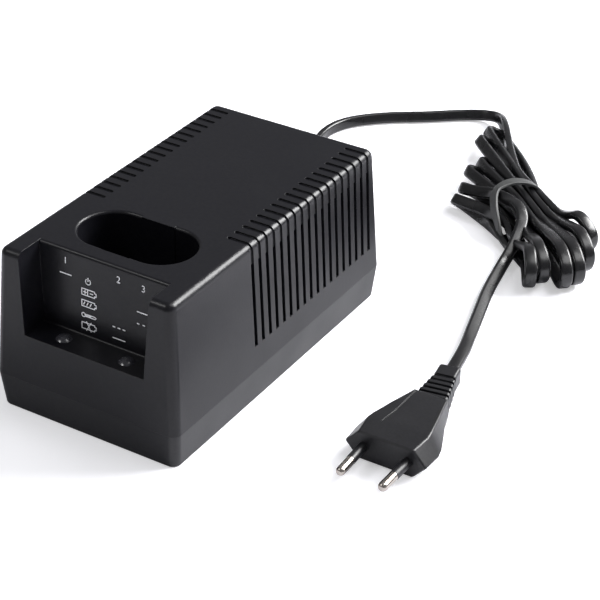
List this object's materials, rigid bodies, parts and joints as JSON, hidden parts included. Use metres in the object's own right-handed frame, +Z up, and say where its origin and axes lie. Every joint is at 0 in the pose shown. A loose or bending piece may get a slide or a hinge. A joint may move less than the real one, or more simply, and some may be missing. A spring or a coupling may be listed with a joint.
{
  "type": "power tool battery charger",
  "caption": "Mains charger for stick battery packs: black moulded box with an obround pocket, lamp recess and vent slots, and a flat two-pin lead tied in a hank.",
  "frame": {"origin": "middle of the housing's underside, on the surface that it stands on", "axes": "+X to the right side, +Y to the rear where the lead leaves, +Z up"},
  "size_m": [0.1772, 0.3254, 0.0694],
  "materials": {
    "black_abs": "fine-textured moulded black, satin",
    "tray_abs": "fine-textured moulded black, satin",
    "lens_plastic": "clear smoky moulded lens",
    "lamp_epoxy_red": "tinted epoxy",
    "lamp_epoxy_green": "tinted epoxy",
    "nylon": "natural nylon",
    "black_nylon": "moulded black nylon",
    "zinc_steel": "zinc plated",
    "tinned": "tin plated",
    "nickel": "nickel plated",
    "laminate": "phenolic board",
    "lamination": "varnished silicon steel",
    "copper_winding": "enamelled copper",
    "tape_yellow": "polyester tape over the coil",
    "aluminium_fin": "mill finish",
    "can_sleeve": "shrink sleeve",
    "device_black": "moulded epoxy",
    "resistor_tan": "dipped",
    "disc_ochre": "dipped ceramic",
    "glass_tube": "clear glass",
    "phosphor_bronze": "bright sprung strip",
    "pvc_black": "glossy flexible PVC",
    "pvc_moulded": "satin moulded PVC",
    "wire_insulation": "PVC insulation",
    "tie_grey": "flat matt strip"
  },
  "bodies": {
    "charger": {"upper_housing": "black_abs", "base_tray": "tray_abs", "housing_screws": "zinc_steel", "indicator_lens_left": "lens_plastic", "indicator_lens_right": "lens_plastic", "indicator_lamp_left": "lamp_epoxy_red", "indicator_lamp_right": "lamp_epoxy_green", "lamp_spacers": "nylon", "lamp_leads": "tinned", "circuit_board": "laminate", "board_screws": "zinc_steel", "contact_carrier": "black_nylon", "contact_terminals": "tinned", "transformer_core": "lamination", "transformer_bobbin": "nylon", "primary_winding": "tape_yellow", "secondary_winding": "copper_winding", "transformer_bracket": "zinc_steel", "bracket_screws": "zinc_steel", "filter_capacitor": "can_sleeve", "heat_sink": "aluminium_fin", "power_transistor": "device_black", "transistor_screw": "zinc_steel", "rectifier_diodes": "device_black", "control_chip": "device_black", "resistors": "resistor_tan", "ceramic_capacitors": "disc_ochre", "fuse_link": "glass_tube", "fuse_clips": "tinned", "secondary_leads": "wire_insulation", "mains_conductors": "wire_insulation", "inner_cord": "pvc_black", "cord_clamp": "black_nylon", "clamp_screws": "zinc_steel", "strain_relief": "pvc_moulded", "cord_lead": "pvc_black", "cord_hank": "pvc_black", "hank_tie": "tie_grey", "cord_tail": "pvc_black", "plug_body": "pvc_moulded", "plug_strain_relief": "pvc_moulded", "plug_pins": "nickel", "plug_pin_sleeves": "device_black"},
    "contact_leaf_positive": {"contact_leaf_positive": "phosphor_bronze"},
    "contact_leaf_sensor": {"contact_leaf_sensor": "phosphor_bronze"},
    "contact_leaf_negative": {"contact_leaf_negative": "phosphor_bronze"}
  },
  "joints": [
    {"name": "leaf_positive_bend", "type": "hinge", "parent": "charger", "child": "contact_leaf_positive", "pos_m": [-0.008, -0.0195, 0.0136], "axis": [-1, 0, 0], "range_deg": [0, 5], "stiffness_Nm_per_rad": 0.2, "springref_deg": -2.86},
    {"name": "leaf_sensor_bend", "type": "hinge", "parent": "charger", "child": "contact_leaf_sensor", "pos_m": [0, -0.0195, 0.0136], "axis": [-1, 0, 0], "range_deg": [0, 5], "stiffness_Nm_per_rad": 0.2, "springref_deg": -2.86},
    {"name": "leaf_negative_bend", "type": "hinge", "parent": "charger", "child": "contact_leaf_negative", "pos_m": [0.008, -0.0195, 0.0136], "axis": [-1, 0, 0], "range_deg": [0, 5], "stiffness_Nm_per_rad": 0.2, "springref_deg": -2.86}
  ]
}
